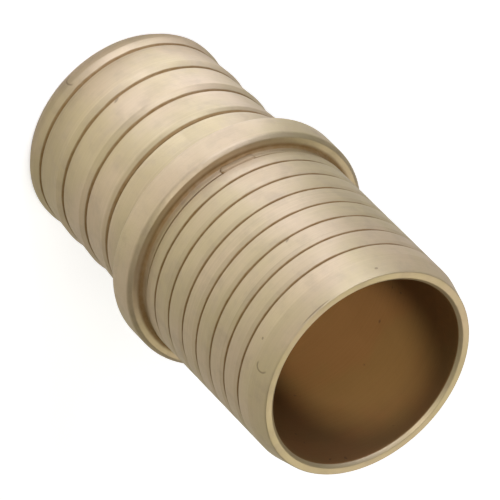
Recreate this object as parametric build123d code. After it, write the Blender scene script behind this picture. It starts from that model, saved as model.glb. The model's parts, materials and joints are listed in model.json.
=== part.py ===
from build123d import *
from math import radians, tan
import os

# Insert coupling for crimped plastic tube: one bronze casting, turned on its insert ends and bored through.
# It stands on the end of its coarse-barbed insert with its axis along +Z; the origin is at the centre of
# that end face. All sizes are in millimetres. Outlines are drawn in the half plane X = radius, Z = height.

# ---- bore, drilled to two sizes
coarse_bore_d = 19.0
fine_bore_d = 20.4
bore_step_height = 22.0        # where the wider upper bore ends
drill_point_angle = 118.0      # cone that the wider drill leaves at the step, in degrees
coarse_bore_chamfer = 0.3

# ---- coarse-barbed insert (lower end, for the tube with the smaller inside diameter)
coarse_nose_wall = 1.05        # at the end face, where the lead-in begins
coarse_root_wall = 1.34        # at the foot of each barb
coarse_barb_depth = 0.26       # from a barb's crest down to its foot
coarse_barb_count = 4
coarse_barb_pitch = 4.4
coarse_nose_length = 0.9       # from the end face to the first crest
coarse_nose_land = 0.66        # straight land on the first crest
coarse_face_length = 0.68      # steep face behind each crest
coarse_groove_width = 0.4      # turned V-groove at the foot of each steep face
coarse_groove_depth = 0.2

# ---- fine-ribbed insert (upper end, for the tube with the larger inside diameter)
fine_rim_wall = 1.05           # at the rim
fine_root_wall = 1.48          # at the foot of each rib
fine_rib_depth = 0.12          # from a rib's crest down to its foot
fine_rib_count = 7
fine_rib_pitch = 2.53
fine_first_foot_offset = 1.6   # from the collar to the foot of the first rib
fine_face_length = 0.5         # steep face behind each crest
fine_groove_width = 0.35       # turned V-groove at the foot of each steep face
fine_groove_depth = 0.2
fine_nose_length = 4.36        # plain nose from the foot of the last rib to the rim
fine_taper_length = 2.3        # lead-in taper at the end of the nose
rim_inner_chamfer = 0.35

# ---- flange and collar between the two inserts
shank_length = 4.51            # from the foot of the last barb to the flange
flange_step = 1.35             # how far the flange stands out beyond the fine crests
flange_width = 3.4
flange_edge_chamfer = 0.4
flange_foot_cove = 0.3         # where the shank meets the flange
collar_step = 0.2              # how far the collar lies below the fine crests
collar_width = 0.75            # plain collar above the flange
collar_foot_cove = 0.25        # where the collar meets the flange

# ---- oval cast pads, spaced evenly round the collar
pad_count = 3
pad_first_angle = -117.0       # about +Z from the +X axis, in degrees
pad_length = 3.8               # round the collar
pad_width = 1.1                # along the axis
pad_rise = 0.15                # above the collar, still below the crests
pad_gap = 0.05                 # from the flange's upper face

# ---- worked out from the sizes above
coarse_crest_r = coarse_bore_d / 2 + coarse_root_wall + coarse_barb_depth
coarse_first_foot = coarse_nose_length + coarse_nose_land + coarse_face_length
coarse_last_foot = coarse_first_foot + (coarse_barb_count - 1) * coarse_barb_pitch

fine_crest_r = fine_bore_d / 2 + fine_root_wall + fine_rib_depth
collar_r = fine_crest_r - collar_step
flange_r = fine_crest_r + flange_step
flange_height = coarse_last_foot + shank_length
flange_top = flange_height + flange_width
collar_top = flange_top + collar_width

fine_rim_r = fine_bore_d / 2 + fine_rim_wall
fine_first_foot = collar_top + fine_first_foot_offset
fine_last_foot = fine_first_foot + (fine_rib_count - 1) * fine_rib_pitch
overall_length = fine_last_foot + fine_nose_length
bore_cone_height = (fine_bore_d - coarse_bore_d) / 2 / tan(radians(drill_point_angle / 2))


def rib_foot(foot, crest_r, depth, face, groove_width, groove_depth):
    """Outline behind one crest: the steep face down to the foot, then the V-groove above the foot."""
    foot_r = crest_r - depth
    return [
        (crest_r, foot - face),
        (foot_r, foot),
        (foot_r - groove_depth, foot + groove_width / 2),
        (foot_r, foot + groove_width),
    ]


def turned_solid(outline):
    """Solid of revolution about Z, from an outline of (radius, height) points with the lowest first."""
    axis_points = [(0, outline[-1][1]), (0, outline[0][1])]
    corners = [(radius, 0, height) for radius, height in outline + axis_points]
    return revolve(make_face(Polyline(*corners, close=True)), axis=Axis.Z)


def rim_edges(solid, radius, height):
    """The circular edges of a turned solid that have this radius and lie at this height."""
    circles = solid.edges().filter_by(GeomType.CIRCLE)
    at_height = circles.filter_by_position(Axis.Z, height - 0.01, height + 0.01)
    return at_height.filter_by(lambda edge: abs(edge.radius - radius) < 0.01)


def coarse_insert():
    """Barbed insert below the flange, with its lead-in at the bottom and a plain shank at the top."""
    outline = [(coarse_bore_d / 2 + coarse_nose_wall, 0), (coarse_crest_r, coarse_nose_length)]
    for i in range(coarse_barb_count):
        foot = coarse_first_foot + i * coarse_barb_pitch
        outline += rib_foot(
            foot, coarse_crest_r, coarse_barb_depth, coarse_face_length, coarse_groove_width, coarse_groove_depth
        )
    outline[-1] = (coarse_crest_r, coarse_last_foot + coarse_groove_width)
    return turned_solid(outline + [(coarse_crest_r, flange_height)])


def flange_and_collar():
    """Round flange that both tubes butt against, with the collar above it."""
    flange = turned_solid([(flange_r, flange_height), (flange_r, flange_top)])
    collar = turned_solid([(collar_r, flange_top), (collar_r, collar_top)])
    return flange + collar


def fine_insert():
    """Ribbed insert above the collar, ending in a plain nose that tapers to the rim."""
    outline = [
        (collar_r - fine_groove_depth, collar_top),
        (fine_crest_r, collar_top + fine_groove_width),
    ]
    for i in range(fine_rib_count):
        foot = fine_first_foot + i * fine_rib_pitch
        outline += rib_foot(
            foot, fine_crest_r, fine_rib_depth, fine_face_length, fine_groove_width, fine_groove_depth
        )
        outline[-1] = (fine_crest_r, foot + fine_groove_width)
    nose = [(fine_crest_r, overall_length - fine_taper_length), (fine_rim_r, overall_length)]
    return turned_solid(outline + nose)


def bore():
    """Through bore: the wider drill from the top, its cone, then the narrower drill to the bottom."""
    return turned_solid([
        (coarse_bore_d / 2 + coarse_bore_chamfer, 0),
        (coarse_bore_d / 2, coarse_bore_chamfer),
        (coarse_bore_d / 2, bore_step_height - bore_cone_height),
        (fine_bore_d / 2, bore_step_height),
        (fine_bore_d / 2, overall_length),
    ])


def cast_pads():
    """Oval pads raised a little above the collar, close to the flange's upper face."""
    pad_height = flange_top + pad_gap + pad_width / 2
    outline = Plane(origin=(0, 0, pad_height), x_dir=(0, 1, 0), z_dir=(1, 0, 0)) * SlotOverall(pad_length, pad_width)
    reach = Pos(0, 0, pad_height) * Cylinder(collar_r + pad_rise, 2 * pad_width)
    pad = extrude(outline, amount=collar_r + pad_length) & reach
    return PolarLocations(0, pad_count, pad_first_angle) * pad


def coupling():
    """The whole casting, with the flange's edges and feet and the rim eased, then bored through."""
    solid = coarse_insert() + flange_and_collar() + fine_insert()
    flange_rims = rim_edges(solid, flange_r, flange_height) + rim_edges(solid, flange_r, flange_top)
    solid = chamfer(flange_rims, min(flange_edge_chamfer, flange_step / 3, flange_width / 3))
    solid = chamfer(rim_edges(solid, coarse_crest_r, flange_height), flange_foot_cove)
    solid = chamfer(rim_edges(solid, collar_r, flange_top), min(collar_foot_cove, flange_step / 3))
    solid = solid + cast_pads() - bore()
    rim_inner_edge = rim_edges(solid, fine_bore_d / 2, overall_length)
    return chamfer(rim_inner_edge, min(rim_inner_chamfer, fine_rim_wall / 2))


os.makedirs("parts", exist_ok=True)
fitting_body = coupling()
print("fitting_body: overall length", round(overall_length, 2), "mm, volume", round(fitting_body.volume), "mm3")
export_step(fitting_body, "parts/fitting_body.step")
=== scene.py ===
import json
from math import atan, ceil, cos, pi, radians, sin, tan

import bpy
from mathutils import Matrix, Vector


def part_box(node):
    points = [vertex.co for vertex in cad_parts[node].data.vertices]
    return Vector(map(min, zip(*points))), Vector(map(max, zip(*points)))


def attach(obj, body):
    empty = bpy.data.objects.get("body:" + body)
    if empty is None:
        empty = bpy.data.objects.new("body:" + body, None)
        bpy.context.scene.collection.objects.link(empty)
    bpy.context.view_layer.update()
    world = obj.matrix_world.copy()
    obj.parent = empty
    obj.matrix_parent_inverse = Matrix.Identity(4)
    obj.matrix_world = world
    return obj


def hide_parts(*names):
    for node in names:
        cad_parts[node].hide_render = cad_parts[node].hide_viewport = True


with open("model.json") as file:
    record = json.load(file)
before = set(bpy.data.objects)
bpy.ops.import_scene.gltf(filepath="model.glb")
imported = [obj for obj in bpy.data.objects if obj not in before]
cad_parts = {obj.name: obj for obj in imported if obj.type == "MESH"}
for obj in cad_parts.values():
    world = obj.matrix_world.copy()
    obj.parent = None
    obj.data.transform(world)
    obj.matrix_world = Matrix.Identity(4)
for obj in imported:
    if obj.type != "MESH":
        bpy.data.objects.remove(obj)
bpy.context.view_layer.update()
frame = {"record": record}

# %% [markdown]
# # A bronze insert coupling for crimped plastic tube
# The real part is one bronze casting. Its two inserts are turned with ribs that grip a plastic tube, a flange
# between them stops both tubes, and a drill has gone through from end to end. It could be dressed by giving
# the CAD solid a metal material alone. Here its outline is also turned again as a finer mesh, because metal
# shows every facet and every hard edge, and then a procedural bronze carries the turning marks and painted
# shade.

MM = 0.001
body_low, body_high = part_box("fitting_body")
overall_length = (body_high[2] - body_low[2]) / MM
flange_radius = (body_high[0] - body_low[0]) / 2 / MM
mounts = {mount["name"]: mount for mount in frame["record"]["mounts"]}


def mount_radius(name):
    """The stated radius of a round mount, in millimetres."""
    return mounts[name]["dims"]["r_mm"]


def mount_height(name):
    """How high a flat mount lies above the end face, in millimetres."""
    return mounts[name]["pos_m"][2] / MM


coarse_crest = mount_radius("coarse_insert")
fine_crest = mount_radius("fine_insert")
coarse_bore = mount_radius("coarse_bore")
fine_bore = mount_radius("fine_bore")
flange_bottom = mount_height("flange_lower_stop")
flange_top = mount_height("flange_upper_stop")
print("fitting:", round(overall_length, 2), "mm long,", round(2 * flange_radius, 2), "mm over the flange")

# %% [markdown]
# ## The camera
# A long lens looks down on the standing part, and it is rolled so that the part lies across the view. It
# could be aimed with a Track To constraint, but that can't roll it. So three directions are worked out:
# towards the camera, and right and up in its view. The elevation and the roll can each be changed alone.

# %% Camera
camera_elevation = radians(42.5)
camera_roll = radians(135.27)
sensor_width = 36.0
camera_lens = 482.4
rim_depth = 627.5
rim_right = 10.8
rim_down = 11.35
aim_height = overall_length - 0.5

to_camera = Vector((0, -cos(camera_elevation), sin(camera_elevation)))
level_right = Vector((1, 0, 0))
level_up = to_camera.cross(level_right)
view_right = cos(camera_roll) * level_right + sin(camera_roll) * level_up
view_up = to_camera.cross(view_right)

camera_data = bpy.data.cameras.new("camera")
camera_data.lens = camera_lens
camera_data.sensor_width = sensor_width
camera_data.clip_end = 10.0
camera = bpy.data.objects.new("camera", camera_data)
bpy.context.scene.collection.objects.link(camera)
bpy.context.scene.camera = camera
aim_point = Vector((0, 0, aim_height))
camera_place = aim_point + rim_depth * to_camera - rim_right * view_right + rim_down * view_up
camera_axes = Matrix((view_right, view_up, to_camera)).transposed()
camera.matrix_world = Matrix.Translation(camera_place * MM) @ camera_axes.to_4x4()
print("camera:", [round(value, 1) for value in camera_place], "mm from the foot of the part")

# %% [markdown]
# ## Shader expressions
# A material is a graph of nodes. Each node could be made and linked by itself, but long graphs are hard to
# read as code. One small class wraps a socket instead, so that sums and products of masks are written as
# plain Python, and every operator adds one Math node.

# %% Shader helper


class Shade:
    """A node socket in a material, with arithmetic that adds Math nodes."""

    def __init__(self, graph, socket):
        self.graph = graph
        self.socket = socket

    def math(self, operation, *others):
        inputs = {0: self, **dict(enumerate(others, 1))}
        return self.graph.node("ShaderNodeMath", {"operation": operation}, inputs)

    def __add__(self, other):
        return self.math("ADD", other)

    __radd__ = __add__

    def __sub__(self, other):
        return self.math("SUBTRACT", other)

    def __rsub__(self, other):
        return self.math("MULTIPLY_ADD", -1.0, other)

    def __mul__(self, other):
        return self.math("MULTIPLY", other)

    __rmul__ = __mul__

    def __truediv__(self, other):
        return self.math("DIVIDE", other)

    def __rtruediv__(self, other):
        return self.graph.node("ShaderNodeMath", {"operation": "DIVIDE"}, {0: other, 1: self})

    def size(self):
        """The value without its sign."""
        return self.math("ABSOLUTE")

    def clamp(self):
        return self.graph.node("ShaderNodeClamp", {}, {"Value": self})


class Graph:
    """One material's nodes."""

    def __init__(self, name):
        self.material = bpy.data.materials.new(name)
        self.material.use_nodes = True
        self.nodes = self.material.node_tree.nodes
        self.links = self.material.node_tree.links
        self.nodes.clear()

    def node(self, kind, settings=None, inputs=None, output=0):
        """A new node with its settings, then its socket values or links; gives one output, wrapped."""
        made = self.nodes.new(kind)
        for name, value in (settings or {}).items():
            setattr(made, name, value)
        for key, value in (inputs or {}).items():
            socket = made.inputs[key]
            if isinstance(value, Shade):
                self.links.new(value.socket, socket)
            else:
                socket.default_value = value
        return Shade(self, made.outputs[output]) if made.outputs else None

    def mix(self, factor, first, second, blend="MIX"):
        """Mix of two colours."""
        settings = {"data_type": "RGBA", "blend_type": blend}
        return self.node("ShaderNodeMix", settings, {0: factor, 6: first, 7: second}, output=2)

    def smooth(self, value, low, high):
        """0 below low, 1 above high, and a soft step between."""
        settings = {"interpolation_type": "SMOOTHSTEP"}
        inputs = {"Value": value, "From Min": low, "From Max": high}
        return self.node("ShaderNodeMapRange", settings, inputs)

    def near(self, value, centre, full, gone):
        """1 within the full distance of a centre value, falling softly to 0 where it is gone."""
        return self.smooth((value - centre).size(), gone, full)


def grey(level):
    """A plain grey as a colour."""
    return (level, level, level, 1.0)


print("shader helper: ready")

# %% [markdown]
# ## Floor
# The part stands on a plain white floor that runs out of sight. Metal mostly shows what stands round it, and
# an upright wall seen from above shows the floor. Brighter lamps would make the floor white, but they would
# wash out the part too. So the floor is a pale grey with its real shadow, and some white is added to it for
# the camera alone, and a little for reflections.

# %% Floor
floor_size = 3.0
bpy.ops.mesh.primitive_plane_add(size=floor_size, location=(0, 0, 0))
floor = bpy.context.object
floor.name = "floor"

floor_graph = Graph("white_floor")
camera_lift = 0.62
gloss_lift = 0.12
seen_by_camera = floor_graph.node("ShaderNodeLightPath", {}, {}, output=0)
seen_in_gloss = floor_graph.node("ShaderNodeLightPath", {}, {}, output=3)
gloss_colour = floor_graph.mix(seen_in_gloss, grey(0.0), grey(gloss_lift))
lift_colour = floor_graph.mix(seen_by_camera, gloss_colour, grey(camera_lift))
plain = floor_graph.node("ShaderNodeBsdfDiffuse", {}, {"Color": grey(0.78)})
lift = floor_graph.node("ShaderNodeEmission", {}, {"Color": lift_colour, "Strength": 1.0})
both = floor_graph.node("ShaderNodeAddShader", {}, {0: plain, 1: lift})
floor_graph.node("ShaderNodeOutputMaterial", {}, {"Surface": both})
floor.data.materials.append(floor_graph.material)

world = bpy.data.worlds.new("white_room")
world.use_nodes = True
background = world.node_tree.nodes["Background"]
background.inputs["Color"].default_value = (1.0, 0.95, 0.74, 1.0)
background.inputs["Strength"].default_value = 0.18
bpy.context.scene.world = world
print("floor: ready")

# %% [markdown]
# ## Lamps
# A large soft lamp on the left makes the long highlight, and a smaller and brighter one above makes the
# highlight in front. Two weaker ones, low on the right and behind, lift the shaded side and the rim, and two
# lit strips on the floor show in the upright walls. A narrow beam goes in at the near opening, because a
# bore lit only by its surroundings would look flat. One bright world could light it all, but metal needs
# something to reflect. Area lamps are chosen because a point lamp leaves hard bright spots on satin metal.

# %% Lamp helpers


def direction(azimuth, elevation):
    """Unit vector towards a place; azimuth is measured from the front towards the left, in degrees."""
    turn, rise = radians(azimuth), radians(elevation)
    return Vector((-sin(turn) * cos(rise), -cos(turn) * cos(rise), sin(rise)))


def add_lamp(name, kind, colour):
    """A lamp linked into the scene; gives its object and its data."""
    data = bpy.data.lights.new(name, kind)
    data.color = colour
    lamp = bpy.data.objects.new(name, data)
    bpy.context.scene.collection.objects.link(lamp)
    return lamp, data


def area_lamp(name, width, height, radiance, colour):
    """A rectangular lamp of a given brightness, whatever its size."""
    lamp, data = add_lamp(name, "AREA", colour)
    data.shape = "RECTANGLE"
    data.size = width
    data.size_y = height
    data.energy = radiance * pi * width * height
    return lamp


def soft_box(name, azimuth, elevation, distance, width, height, radiance, colour):
    """A large lamp that faces the foot of the part."""
    lamp = area_lamp(name, width, height, radiance, colour)
    away = direction(azimuth, elevation)
    lamp.location = away * distance
    lamp.rotation_euler = away.to_track_quat("Z", "Y").to_euler()


def floor_strip(name, azimuth, near, far, width, radiance, colour):
    """A lit strip that lies face up on the floor and points at the part."""
    lamp = area_lamp(name, width, far - near, radiance, colour)
    above_floor = Vector((0, 0, 0.001))
    lamp.location = direction(azimuth, 0) * (near + far) / 2 + above_floor
    lamp.rotation_euler = (pi, 0, -radians(azimuth))


def bore_beam(azimuth, elevation, distance, beam_radius, power, colour):
    """A narrow soft-edged beam through the near opening; distance and radius in millimetres."""
    lamp, data = add_lamp("bore_lamp", "SPOT", colour)
    data.spot_size = 2 * atan(beam_radius / distance)
    data.spot_blend = 0.7
    data.energy = power
    away = direction(azimuth, elevation)
    lamp.location = Vector((0, 0, overall_length * MM)) + away * distance * MM
    lamp.rotation_euler = away.to_track_quat("Z", "Y").to_euler()


print("lamp helpers: ready")

# %% Lamps
cool_white = (0.96, 1.03, 1.35)
warm_white = (1.0, 0.97, 0.88)
strip_near = 0.0125
strip_far = 0.16
soft_box("key_lamp", 46, 18, 0.8, 0.5, 0.5, 3.7, cool_white)
soft_box("front_lamp", -2, 60, 0.8, 0.3, 0.3, 6.0, (1.0, 0.99, 1.0))
soft_box("fill_lamp", -38, 9, 0.8, 1.1, 0.4, 0.55, warm_white)
soft_box("back_lamp", 180, 42, 0.8, 0.6, 0.5, 1.5, (1.0, 0.98, 0.92))
floor_strip("floor_panel", 46, strip_near, strip_far, 0.036, 1.15, cool_white)
floor_strip("front_panel", 2, strip_near, strip_far, 0.06, 0.43, (1.0, 0.99, 1.02))
bore_beam(-3, 55, 400, 8.2, 13.0, (1.0, 0.95, 0.85))

# %% [markdown]
# ## The turned outline
# A turned part is its outline swept once round its axis. The outline is a short list of corners, worked out
# from the sizes of the ribs, and each corner is then eased by a small arc, as a cutting tool and tumbling
# leave it. A Screw modifier could sweep it, but sweeping it ring by ring in Python gives a closed skin whose
# points come in a known order, so that a number can be stored for each ring.

# %% Ribs
coarse_pitch = 4.4
fine_pitch = 2.53
coarse_shape = dict(depth=0.26, face=0.68, groove_width=0.4, groove_depth=0.2)
fine_shape = dict(depth=0.12, face=0.5, groove_width=0.35, groove_depth=0.2)
coarse_count = 4
fine_count = 7
first_coarse_foot = 2.24
first_fine_foot = flange_top + 2.35
coarse_feet = [first_coarse_foot + i * coarse_pitch for i in range(coarse_count)]
fine_feet = [first_fine_foot + i * fine_pitch for i in range(fine_count)]


def rib_corners(foot, crest, next_radius, depth, face, groove_width, groove_depth):
    """Corners behind one crest, as (radius, height, easing radius): the steep face, then the V-groove."""
    return [
        (crest, foot - face, 0.3),
        (crest - depth, foot, 0.03),
        (crest - depth - groove_depth, foot + groove_width / 2, 0.05),
        (next_radius, foot + groove_width, 0.1),
    ]


print("ribs:", len(coarse_feet), "coarse and", len(fine_feet), "fine")

# %% Outline
collar_radius = fine_crest - 0.2
collar_top = flange_top + 0.75
collar_cove = 0.25
flange_chamfer = 0.4
flange_cove = 0.3
rim_wall = 1.05
coarse_nose_length = 0.9
taper_length = 2.3

outer_corners = [(coarse_bore + rim_wall, 0.0, 0.05), (coarse_crest, coarse_nose_length, 0.5)]
for foot in coarse_feet:
    last = foot == coarse_feet[-1]
    next_radius = coarse_crest if last else coarse_crest - coarse_shape["depth"]
    outer_corners += rib_corners(foot, coarse_crest, next_radius, **coarse_shape)
outer_corners += [
    (coarse_crest, flange_bottom - flange_cove, 0.1),
    (coarse_crest + flange_cove, flange_bottom, 0.1),
    (flange_radius - flange_chamfer, flange_bottom, 0.2),
    (flange_radius, flange_bottom + flange_chamfer, 0.4),
    (flange_radius, flange_top - flange_chamfer, 0.4),
    (flange_radius - flange_chamfer, flange_top, 0.2),
    (collar_radius + collar_cove, flange_top, 0.1),
    (collar_radius, flange_top + collar_cove, 0.1),
    (collar_radius, collar_top, 0.1),
    (collar_radius - fine_shape["groove_depth"], collar_top, 0.03),
    (fine_crest, collar_top + fine_shape["groove_width"], 0.1),
]
for foot in fine_feet:
    outer_corners += rib_corners(foot, fine_crest, fine_crest, **fine_shape)
outer_corners += [
    (fine_crest, overall_length - taper_length, 0.8),
    (fine_bore + rim_wall, overall_length, 0.1),
]
bore_step = 22.0
drill_point_angle = 118
rim_chamfer = 0.35
foot_chamfer = 0.3
bore_cone = (fine_bore - coarse_bore) / tan(radians(drill_point_angle / 2))
bore_corners = [
    (fine_bore + rim_chamfer, overall_length, 0.2),
    (fine_bore, overall_length - rim_chamfer, 0.3),
    (fine_bore, bore_step, 0.1),
    (coarse_bore, bore_step - bore_cone, 0.1),
    (coarse_bore, foot_chamfer, 0.05),
    (coarse_bore + foot_chamfer, 0.0, 0.05),
]


def eased(corners, arc_steps=3):
    """The closed outline with every corner replaced by a short arc, as (radius, height) points."""
    points = []
    for i, (radius, height, easing) in enumerate(corners):
        here = Vector((radius, height))
        back = Vector(corners[i - 1][:2]) - here
        ahead = Vector(corners[(i + 1) % len(corners)][:2]) - here
        turn = pi - back.angle(ahead)
        if turn < 0.01:
            points.append(here)
            continue
        setback = min(easing * tan(turn / 2), 0.45 * back.length, 0.45 * ahead.length)
        start = here + setback * back.normalized()
        end = here + setback * ahead.normalized()
        for step in range(arc_steps + 1):
            t = step / arc_steps
            points.append((1 - t) ** 2 * start + 2 * t * (1 - t) * here + t ** 2 * end)
    return points


def divided(points, longest):
    """The same outline with long runs divided, so that no step is longer than that."""
    result = []
    for i, point in enumerate(points):
        following = points[(i + 1) % len(points)]
        steps = max(1, ceil((following - point).length / longest))
        result += [point.lerp(following, step / steps) for step in range(steps)]
    return result


outline = divided(eased(outer_corners + bore_corners), longest=0.8)
print("outline:", len(outline), "points")

# %% Turned skin
sides = 272


def turned_mesh(name, points, count):
    """Closed skin swept round the Z axis from an outline in millimetres."""
    verts = []
    for point in points:
        for side in range(count):
            angle = 2 * pi * side / count
            verts.append((point.x * cos(angle) * MM, point.x * sin(angle) * MM, point.y * MM))
    faces = []
    for ring in range(len(points)):
        this_ring = ring * count
        next_ring = (ring + 1) % len(points) * count
        for side in range(count):
            after = (side + 1) % count
            faces.append((this_ring + side, this_ring + after, next_ring + after, next_ring + side))
    mesh = bpy.data.meshes.new(name)
    mesh.from_pydata(verts, [], faces)
    mesh.shade_smooth()
    return mesh


skin = turned_mesh("bronze_body", outline, sides)
bronze_body = bpy.data.objects.new("bronze_body", skin)
bpy.context.scene.collection.objects.link(bronze_body)
print("turned skin:", len(skin.polygons), "faces")

# %% [markdown]
# ## Which points lie in the bore
# The bore is duller than the outside, and painted a darker brown as shade. A shader can tell a groove from
# its height and radius, but the thin wall makes that risky for the bore, so the skin stores a number on its
# points: 1 in the bore.
# A second number, for painted shade, is 0 all over the turned skin; the pads below use it for the painted
# shade at their edge.

# %% Bore and painted-shade attributes


def store(mesh, name, values):
    """One number for each ring of the skin, stored on its points."""
    attribute = mesh.attributes.new(name, "FLOAT", "POINT")
    attribute.data.foreach_set("value", [value for value in values for _ in range(sides)])


def is_in_bore(point):
    """True on the wall of either bore and on the chamfer at the foot, but not on the one at the rim."""
    in_fine_bore = point.x < fine_bore + 0.05 and point.y > bore_step - 1
    return in_fine_bore or point.x < coarse_bore + 0.4


in_bore = [is_in_bore(point) for point in outline]
store(skin, "bore", [float(inside) for inside in in_bore])
store(skin, "grime", [0.0 for _ in outline])
print("bore rings:", sum(in_bore))

# %% [markdown]
# ## The witness pads
# Three small oval pads stand on the collar, tight against the flange. They are cast with the part, so they
# could be pressed up out of the turned skin, but its mesh is far too coarse there. Each is a thin oval crown
# of its own, laid on the round collar, with a dark line of painted shade where it meets it, and joined to the
# body.

# %% Witness pads
pad_count = 3
pad_first_angle = radians(-117)
pad_length = 3.8
pad_width = 1.1
pad_rise = 0.15
pad_gap = 0.05
pad_centre_height = flange_top + pad_gap + pad_width / 2
# Each row of points: share of the width, height above the collar, and painted shade. The first lies inside
# it.
pad_rows = [
    (1.06, -0.06, 1.0),
    (1.0, 0.03, 1.0),
    (0.93, 0.09, 0.35),
    (0.80, 0.14, 0.0),
    (0.50, pad_rise, 0.0),
]


def slot_edge(share, steps=48):
    """The oval's edge as (along, up) in millimetres, scaled about the centre line of the slot."""
    half_run = (pad_length - pad_width) / 2
    edge = []
    for step in range(steps):
        turn = 2 * pi * step / steps
        along = half_run if cos(turn) > 0 else -half_run
        edge.append((along + share * pad_width / 2 * cos(turn), share * pad_width / 2 * sin(turn)))
    return edge


def witness_pad(name, centre_angle):
    """One oval crown that follows the collar."""
    verts, faces, point_shades = [], [], []
    for share, rise, row_shade in pad_rows:
        radius = collar_radius + rise
        for along, up in slot_edge(share):
            angle = centre_angle + along / collar_radius
            height_there = (pad_centre_height + up) * MM
            verts.append((radius * cos(angle) * MM, radius * sin(angle) * MM, height_there))
            point_shades.append(row_shade)
    count = len(verts) // len(pad_rows)
    for row in range(len(pad_rows) - 1):
        for step in range(count):
            after = (step + 1) % count
            first, second = row * count, (row + 1) * count
            faces.append((first + step, first + after, second + after, second + step))
    faces.append(tuple((len(pad_rows) - 1) * count + step for step in range(count)))
    mesh = bpy.data.meshes.new(name)
    mesh.from_pydata(verts, [], faces)
    mesh.shade_smooth()
    mesh.attributes.new("grime", "FLOAT", "POINT").data.foreach_set("value", point_shades)
    mesh.attributes.new("bore", "FLOAT", "POINT")
    pad = bpy.data.objects.new(name, mesh)
    bpy.context.scene.collection.objects.link(pad)
    return pad


pads = []
for number in range(pad_count):
    pad_angle = pad_first_angle + 2 * pi * number / pad_count
    pads.append(witness_pad(f"witness_pad_{number + 1}", pad_angle))
bpy.ops.object.select_all(action="DESELECT")
for piece in [*pads, bronze_body]:
    piece.select_set(True)
bpy.context.view_layer.objects.active = bronze_body
bpy.ops.object.join()
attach(bronze_body, "root")
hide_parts("fitting_body")
print("with its pads:", len(skin.polygons), "faces")

# %% [markdown]
# ## Places and noises for the bronze
# A finish needs to know where it is on the part. The skin could be unwrapped and painted, but that brings a
# seam. Here the object's own coordinates are turned into millimetres, height, angle and radius, so that
# every mark is placed in the same units as the shape. Two kinds of noise are enough: clouds, and rings
# round the axis.

# %% Bronze coordinates and noises
bronze = Graph("turned_bronze")
place = bronze.node("ShaderNodeTexCoord", {}, {}, output=3)
millimetres = bronze.node("ShaderNodeVectorMath", {"operation": "SCALE"}, {0: place, 3: 1 / MM})
east, north, height = (
    bronze.node("ShaderNodeSeparateXYZ", {}, {0: millimetres}, output=axis) for axis in range(3)
)
angle_round = north.math("ARCTAN2", east)
radius_there = (east * east + north * north).math("SQRT")
# The painted shade round the edge of each pad.
pad_edge_shade = bronze.node("ShaderNodeAttribute", {"attribute_name": "grime"}, {}, output=2)
inside = bronze.node("ShaderNodeAttribute", {"attribute_name": "bore"}, {}, output=2)
outside = 1.0 - inside


def cloud(scale, detail=3.0, roughness=0.5):
    """Noise in all directions, with features of about 1 / scale millimetres."""
    inputs = {"Vector": millimetres, "Scale": scale, "Detail": detail, "Roughness": roughness}
    return bronze.node("ShaderNodeTexNoise", {}, inputs)


def rings(scale, detail=2.0):
    """Noise that changes only along the axis, as turning marks do."""
    inputs = {"W": height, "Scale": scale, "Detail": detail}
    return bronze.node("ShaderNodeTexNoise", {"noise_dimensions": "1D"}, inputs)


print("bronze coordinates: ready")

# %% [markdown]
# ## Where painted shade gathers
# The grooves and both feet of the flange are darkened with painted shade. A shader could look for
# hollows with the Pointiness output, but that depends on the mesh, so each groove is found by its height.
# The ribs repeat, so one wrapped distance covers a whole row, and a slow noise makes the lines uneven.

# %% Painted shade in the hollows


def groove_row(feet, pitch, groove_width):
    """1 in every groove of one row of ribs."""
    first = feet[0] + groove_width / 2
    last = feet[-1] + groove_width / 2
    distance = (height - first).math("WRAP", pitch / 2, -pitch / 2).size()
    uneven = 0.16 * (cloud(0.5) - 0.5)
    after_first = bronze.smooth(height, first - 1.0, first - 0.8)
    before_last = bronze.smooth(height, last + 1.0, last + 0.8)
    return bronze.smooth(distance + uneven, 0.28, 0.12) * after_first * before_last


def flange_foot_shade(level, reach, wall_radius, out_full, out_gone):
    """1 at a foot of the flange: near its level, and close to the wall that it stands on."""
    close_in = bronze.smooth(radius_there, wall_radius + out_gone, wall_radius + out_full)
    return bronze.near(height, level, 0.12, reach) * close_in


collar_line = collar_top + 0.15
shank_line = coarse_feet[-1] - 0.05
# Masks for the painted shade in the grooves and at both feet of the flange.
grooves = (
    groove_row(coarse_feet, coarse_pitch, coarse_shape["groove_width"])
    + groove_row(fine_feet, fine_pitch, fine_shape["groove_width"])
    + bronze.near(height, collar_line, 0.10, 0.24) * 0.6
    + bronze.near(height, shank_line, 0.12, 0.30)
)
flange_feet = (
    flange_foot_shade(flange_top, 0.34, collar_radius, 0.35, 0.75)
    + flange_foot_shade(flange_bottom, 0.40, coarse_crest, 0.4, 0.9)
)
# Where painted shade darkens the colour; the same mask also makes these places rougher and less metallic.
grime = ((grooves + flange_feet) * outside + pad_edge_shade).clamp()
print("grime: ready")

# %% [markdown]
# ## Wear
# A fitting from a bin has a few nicks, dents and scratches. They are placed by angle and height on the
# outer wall and are made of soft ovals and short arcs, so each can be moved or left out by itself.
# They are too shallow to change the outline, so they are colour and bump and not geometry.

# %% Wear


def on_wall(angle, along):
    """How far each point lies from a place on the outer wall, round it and up it, in millimetres."""
    return (angle_round - radians(angle)) * fine_crest, height - along


def nick(angle, along, length, width, tilt=0):
    """A soft oval: 1 at its middle. Angles in degrees, the first from +X; the rest in millimetres."""
    offset, rise = on_wall(angle, along)
    turn = radians(tilt)
    across = (offset * cos(turn) + rise * sin(turn)) * (2 / length)
    upward = (rise * cos(turn) - offset * sin(turn)) * (2 / width)
    return bronze.smooth(across * across + upward * upward, 1.0, 0.3) * outside


def arc_scratch(angle, along, radius, width):
    """A scratch bent to part of a circle: 1 on the line."""
    offset, rise = on_wall(angle, along)
    distance = (offset * offset + rise * rise).math("SQRT")
    one_side = bronze.smooth(offset - rise * 0.4, -0.15, 0.3)
    return bronze.near(distance, radius, 0.2 * width, width) * one_side * outside


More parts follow.
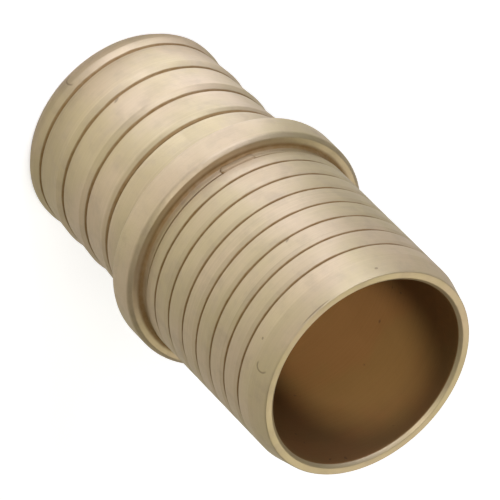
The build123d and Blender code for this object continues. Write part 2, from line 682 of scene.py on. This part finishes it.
marks = [
    nick(-97.0, 7.2, 0.9, 0.35, 20),
    nick(-107.5, 36.2, 1.1, 0.25, 35),
    nick(-67.0, 42.45, 0.35, 0.3),
    nick(-130.5, 44.3, 0.45, 0.3),
    # This long thin one darkens a line along the outer edge of the rim.
    nick(-93.0, 45.05, 4.2, 0.16),
    arc_scratch(-56.0, 43.8, 0.6, 0.13),
    arc_scratch(-88.0, 1.25, 0.55, 0.14),
]
nicked = marks[0]
for one_mark in marks[1:]:
    nicked = nicked.math("MAXIMUM", one_mark)
stain = nick(-92.0, flange_top + 0.5, 6.5, 1.3) * bronze.smooth(cloud(1.2, 4.0), 0.35, 0.6)
pits = bronze.smooth(cloud(1.3, 1.0), 0.75, 0.80) * inside
print("wear:", len(marks), "marks, a stain and the pits in the bore")

# %% [markdown]
# ## Bronze colour
# The colour drifts a little between pink and olive, as it does on a tumbled casting, and the bore is painted
# a darker brown as shade.
# One flat colour would look like plastic. Each layer is one mix with its own mask, from the widest drift to
# the smallest mark, so it can be made weaker or left out by itself.

# %% Bronze colour
pink = (0.60, 0.475, 0.31, 1.0)
olive = (0.56, 0.46, 0.27, 1.0)
dull_bronze = (0.50, 0.40, 0.27, 1.0)
smudge_brown = (0.43, 0.34, 0.23, 1.0)
# The bore's two dark browns are painted shade.
bore_shade_brown = (0.20, 0.107, 0.032, 1.0)
bore_shade_red = (0.21, 0.102, 0.031, 1.0)
# Dark brown for the painted shade in the hollows.
shade_brown = (0.27, 0.145, 0.034, 1.0)
nick_brown = (0.16, 0.10, 0.05, 1.0)
stain_grey = (0.22, 0.21, 0.20, 1.0)
pit_brown = (0.10, 0.05, 0.02, 1.0)

drift = bronze.smooth(cloud(0.12), 0.35, 0.65)
mottling = bronze.smooth(cloud(0.9, 5.0), 0.45, 0.75) * 0.35
smudges = bronze.smooth(cloud(0.35, 6.0, 0.6), 0.50, 0.66) * 0.28
bore_drift = bronze.smooth(cloud(0.16, 4.0), 0.4, 0.6)
# Painted shade: how far each hollow is mixed towards that dark brown.
shade_cover = (grime * (0.6 + 0.5 * cloud(1.5))).clamp() * 0.9
# Painted sheen: the nose beyond the last fine rib is made a little lighter.
nose_shine = bronze.smooth(height, fine_feet[-1] + 0.4, fine_feet[-1] + 0.6)
# The turning streaks and the painted sheen on the nose, as one grey that multiplies the colour.
streaks_and_sheen = 0.93 + 0.14 * rings(5.0, 4.0) + 0.06 * nose_shine
streaks_and_sheen_grey = bronze.node("ShaderNodeCombineColor", {}, {0: streaks_and_sheen, 1: streaks_and_sheen, 2: streaks_and_sheen})

outer_colour = bronze.mix(drift, pink, olive)
outer_colour = bronze.mix(mottling, outer_colour, dull_bronze)
outer_colour = bronze.mix(smudges, outer_colour, smudge_brown)
# The bore is painted darker as shade, with a slow drift between two browns.
bore_shade_colour = bronze.mix(bore_drift, bore_shade_brown, bore_shade_red)
colour = bronze.mix(inside, outer_colour, bore_shade_colour)
colour = bronze.mix(shade_cover, colour, shade_brown)
colour = bronze.mix(1.0, colour, streaks_and_sheen_grey, "MULTIPLY")
colour = bronze.mix(nicked * 0.5, colour, nick_brown)
colour = bronze.mix(stain * 0.15, colour, stain_grey)
colour = bronze.mix(pits * 0.7, colour, pit_brown)
print("bronze colour: ready")

# %% [markdown]
# ## Bronze surface
# Turned bronze is a satin metal. Its gloss comes from the fine rings that the tool leaves, which would take
# far too many faces to model. So the roughness and the bump both follow the height along the axis, and a
# slower noise keeps the rings from looking printed. The shank, the flange and the collar are left as cast,
# so there the rings fade and the grain is stronger.

# %% Bronze surface
cast_from = flange_bottom - 4.5
cast_low = bronze.smooth(height, cast_from - 0.1, cast_from + 0.1)
cast_high = bronze.smooth(height, collar_top, collar_top - 0.1)
cast = cast_low * cast_high
satin = 0.40 + 0.14 * cloud(0.5) + 0.10 * rings(6.0) + 0.12 * inside + 0.2 * grime
turning = 0.6 * rings(9.0) + 0.4 * rings(3.0)
grain = cloud(4.0, 4.0) * (0.35 + 2.2 * cast)
relief = turning * (1.0 - 0.7 * cast) + grain - 1.5 * nicked - 1.2 * pits
bump = bronze.node("ShaderNodeBump", {}, {"Strength": 0.25, "Distance": 0.00004, "Height": relief})
metallic = 0.85 - 0.2 * grime - 0.35 * inside

surface = bronze.node(
    "ShaderNodeBsdfPrincipled", {},
    {"Base Color": colour, "Metallic": metallic, "Roughness": satin, "Normal": bump},
)
bronze.node("ShaderNodeOutputMaterial", {}, {"Surface": surface})
skin.materials.append(bronze.material)
print("bronze:", len(bronze.nodes), "nodes")

# %% [markdown]
# ## Finish
# The Standard view keeps colours as they are written, where a film-like one would soften them.

# %% Finish
bpy.context.scene.view_settings.view_transform = "Standard"
